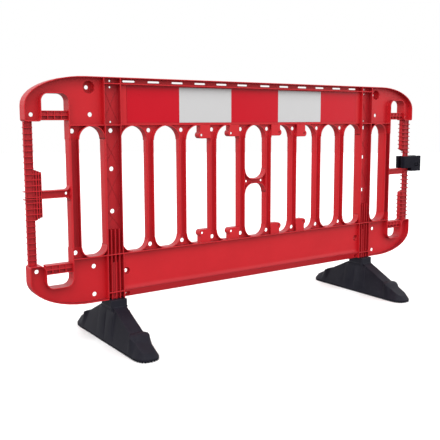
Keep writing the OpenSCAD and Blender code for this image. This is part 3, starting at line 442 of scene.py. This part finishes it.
def makeFeet():
    rows = footSurface(footForm)
    faces = gridFaces(rows.shape[0], rows.shape[1])
    for side in ("left", "right"):
        lowest, highest = (np.array(v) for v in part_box(side + "_foot"))
        middle = np.array([*(lowest[:2] + highest[:2]) / 2, 0])
        piece = newPiece(side + "FootShell", rows.reshape(-1, 3) + middle, faces, finishOf["foot_black"],
                         side + "_swivel_foot", footForm["crease"])
        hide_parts(side + "_foot")
    print("feet made:", len(faces), "quads each")


makeFeet()


# Clip: an oval press mark on each face, as a raised ring round a low button
clipMark = {
    "fromOuterEnd": 0.037, "rise": 0.033, "straight": 0.006, "round": 0.011, "pull": 6, "ring": 0.0014,
    "buttonShare": 0.66, "sunk": 0.0025, "buttonHeight": 0.0034, "around": 64, "ringRows": 13,
    "buttonRows": 9, "crease": 50,
}


def ovalPath(s, share):  # a stadium: a circle of the given share of its radius, cut in two and pulled apart
    a = 2 * np.pi * np.arange(s["around"]) / s["around"]
    pulled = s["straight"] * np.tanh(s["pull"] * np.cos(a))
    return s["round"] * share * np.cos(a) + pulled, s["round"] * share * np.sin(a)


def clipMarkSurface(s):
    # ring: a round tube carried along the oval
    # button: the oval shrunk towards its middle by r, rising as 1 - r squared, closed underneath
    a = 2 * np.pi * np.arange(s["around"]) / s["around"]
    turn = np.linspace(0, 2 * np.pi, s["ringRows"])[:, None]
    x, z = ovalPath(s, 1)
    out = s["ring"] * np.cos(turn)
    ring = np.stack([x + out * np.cos(a), s["ring"] * np.sin(turn) + 0 * a, z + out * np.sin(a)], -1)
    r = np.linspace(0, 1, s["buttonRows"])[:, None]
    x, z = ovalPath(s, s["buttonShare"])
    button = np.stack([r * x, s["sunk"] - s["buttonHeight"] * (1 - r ** 2) + 0 * a, r * z], -1)
    under = np.stack([0 * x, s["sunk"] + 0 * x, 0 * x], -1)[None]
    return ring, np.concatenate([button, under])


def makeClipMarks():
    s = clipMark
    lowest, highest = (np.array(v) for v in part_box("link_clip"))
    points, faces, count = [], [], 0
    for face, way in ((lowest[1], 1), (highest[1], -1)):
        middle = np.array([highest[0] - s["fromOuterEnd"], face, lowest[2] + s["rise"]])
        for part in clipMarkSurface(s):
            points.append(part.reshape(-1, 3) * (1, way, 1) + middle)
            faces.append(gridFaces(*part.shape[:2]) + count)
            count += len(points[-1])
    newPiece("clipMarks", np.concatenate(points), np.concatenate(faces), finishOf["clip_black"],
             "clip", s["crease"])
    print("clip marks made")


makeClipMarks()


# Ribs that stand out from the right-hand ribbed bar on both faces, narrow near its middle
gripFin = {
    "pitch": 0.020, "outer": 0.0005, "wide": 0.056, "narrow": 0.030, "past": 0.0015, "inner": 0.005,
    "halfDepth": 0.0145, "thickness": 0.0046, "capShare": 0.94, "squareness": 0.22, "around": 40,
    "narrowHalf": 0.098, "step": 0.011, "endGap": 0.014, "clipGap": 0.004, "crease": 40,
}


def finSurface(s, width):
    # a rounded oblong in plan, a superellipse, carried through the rib's thickness and closed on both faces
    a = 2 * np.pi * (np.arange(s["around"]) + 0.5) / s["around"]
    across, deep = (np.sign(v) * np.abs(v) ** s["squareness"] for v in (np.cos(a), np.sin(a)))
    half = (width + s["past"] + s["inner"]) / 2
    x = s["past"] - half + half * across
    y = s["halfDepth"] * deep
    share = np.array([0, s["capShare"], 1, 1, s["capShare"], 0])[:, None]
    height = np.array([-0.5, -0.5, -0.25, 0.25, 0.5, 0.5])[:, None] * s["thickness"]
    return np.stack([-width / 2 + (x + width / 2) * share, y * share, height + 0 * x], -1)


def makeGripFins():
    s = gripFin
    lowest, highest = (np.array(v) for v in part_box("right_ribbed_bar"))
    middle = np.mean([v[2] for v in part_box("right_crossbar")])
    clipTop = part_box("link_clip")[1][2]
    low, high = lowest[2], highest[2]
    ribs = math.floor((high - low) / s["pitch"])
    heights = low + np.arange(1, ribs) * (high - low) / ribs
    heights = heights[(heights > low + s["endGap"]) & (heights < high - s["endGap"])]
    offset = heights - middle
    wide = heights[np.abs(offset) > s["narrowHalf"] + s["step"]]
    clear = (offset < -s["step"]) | (heights > clipTop + s["clipGap"])  # none where the clip turns
    narrow = heights[(np.abs(offset) < s["narrowHalf"]) & clear]
    outerEdge = np.array([highest[0] - s["outer"], 0, 0])
    points, faces, count = [], [], 0
    for width, places in ((s["wide"], wide), (s["narrow"], narrow)):
        fin = finSurface(s, width)
        stack = fin[None] + outerEdge + places[:, None, None, None] * (0, 0, 1)
        points.append(stack.reshape(-1, 3))
        shifts = np.arange(len(places))[:, None, None] * fin.shape[0] * fin.shape[1]
        faces.append((gridFaces(*fin.shape[:2])[None] + shifts + count).reshape(-1, 4))
        count += len(points[-1])
    newPiece("rightGripFins", np.concatenate(points), np.concatenate(faces), ribbedRed,
             "panel", s["crease"])
    print("grip fins made:", len(wide), "wide,", len(narrow), "narrow")


makeGripFins()


# Camera at the photograph's angle: place in metres, turn from +Y towards +X, tilt below the horizon
camera = {
    "place": (-1.7864, -2.3208, 0.8531), "turn": 35.408, "tilt": 7.076, "lens": 54.98, "sensor": 36,
    "shift": (-0.0343, -0.0423),
}


def makeCamera():
    data = bpy.data.cameras.new("photoCamera")
    data.sensor_width = camera["sensor"]
    data.lens = camera["lens"]
    data.shift_x, data.shift_y = camera["shift"]
    made = bpy.data.objects.new("photoCamera", data)
    made.location = camera["place"]
    made.rotation_euler = (math.radians(90 - camera["tilt"]), 0, math.radians(-camera["turn"]))
    scene.collection.objects.link(made)
    scene.camera = made


# Pale studio: a white floor, a sky that is bright above and dim below, and soft lamps
studio = {
    "floorRadius": 14.0, "floorHubShare": 0.001, "floorRings": 24, "floorSpokes": 96,
    "floorColor": (0.95, 0.95, 0.95, 1), "floorRoughness": 0.9, "backdrop": (1, 1, 1, 1),
    "skyBelow": (0.42, 0.42), "skyAbove": (0.58, 1.50),  # share of the way from below to above, brightness
    "lamps": {  # place, size, watts
        "keyLamp": ((-2.7, -2.6, 5.2), 2.4, 70), "rimLamp": ((1.6, 3.0, 4.6), 2.6, 30),
        "fillLamp": ((2.9, -2.2, 1.0), 1.4, 8),
    },
    "aim": (0, 0, 0.5),
}


def makeFloor():  # a flat disc: (R r cos a, R r sin a, 0)
    rings, spokes = studio["floorRings"], studio["floorSpokes"]
    r = np.linspace(studio["floorHubShare"], 1, rings)[:, None] * studio["floorRadius"]
    a = 2 * np.pi * np.arange(spokes) / spokes
    points = np.stack([r * np.cos(a), r * np.sin(a), 0 * r * a], -1).reshape(-1, 3)
    faces = gridFaces(rings, spokes)[:, ::-1]
    mesh = bpy.data.meshes.new("studioFloor")
    mesh.from_pydata(points.tolist(), [], faces.tolist())
    floor = bpy.data.objects.new("studioFloor", mesh)
    scene.collection.objects.link(floor)
    finish, at = newFinish("studioFloor")
    look = {"Base Color": studio["floorColor"], "Roughness": studio["floorRoughness"]}
    shader = at.node("ShaderNodeBsdfPrincipled", inputs=look)
    at.node("ShaderNodeOutputMaterial", inputs={"Surface": shader})
    mesh.materials.append(finish)
    floor.visible_diffuse = floor.visible_glossy = False  # the sky alone lights the part from below


def makeSky():
    world = bpy.data.worlds.new("studioSky")
    scene.world = world
    world.use_nodes = True
    tree = world.node_tree
    tree.nodes.clear()
    way = Wire(tree, None).node("ShaderNodeTexCoord", out="Generated")
    up = way.node("ShaderNodeSeparateXYZ", inputs={"Vector": way}, out="Z")
    light = steps(up * 0.5 + 0.5, studio["skyBelow"], studio["skyAbove"])
    seen = way.node("ShaderNodeLightPath", out="Is Camera Ray")
    shown = blendColor(seen, light, studio["backdrop"])
    sky = way.node("ShaderNodeBackground", inputs={"Color": shown})
    way.node("ShaderNodeOutputWorld", inputs={"Surface": sky})


def makeLamps():
    for name, (place, size, watts) in studio["lamps"].items():
        data = bpy.data.lights.new(name, "AREA")
        data.energy = watts
        data.size = size
        lamp = bpy.data.objects.new(name, data)
        lamp.location = place
        away = np.array(place) - studio["aim"]
        flat = math.hypot(away[0], away[1])
        lamp.rotation_euler = (math.atan2(flat, away[2]), 0, math.atan2(away[0], -away[1]))
        lamp.visible_camera = False
        scene.collection.objects.link(lamp)


makeCamera()
makeFloor()
makeSky()
makeLamps()
scene.view_settings.view_transform = "Standard"
print("camera and studio made")
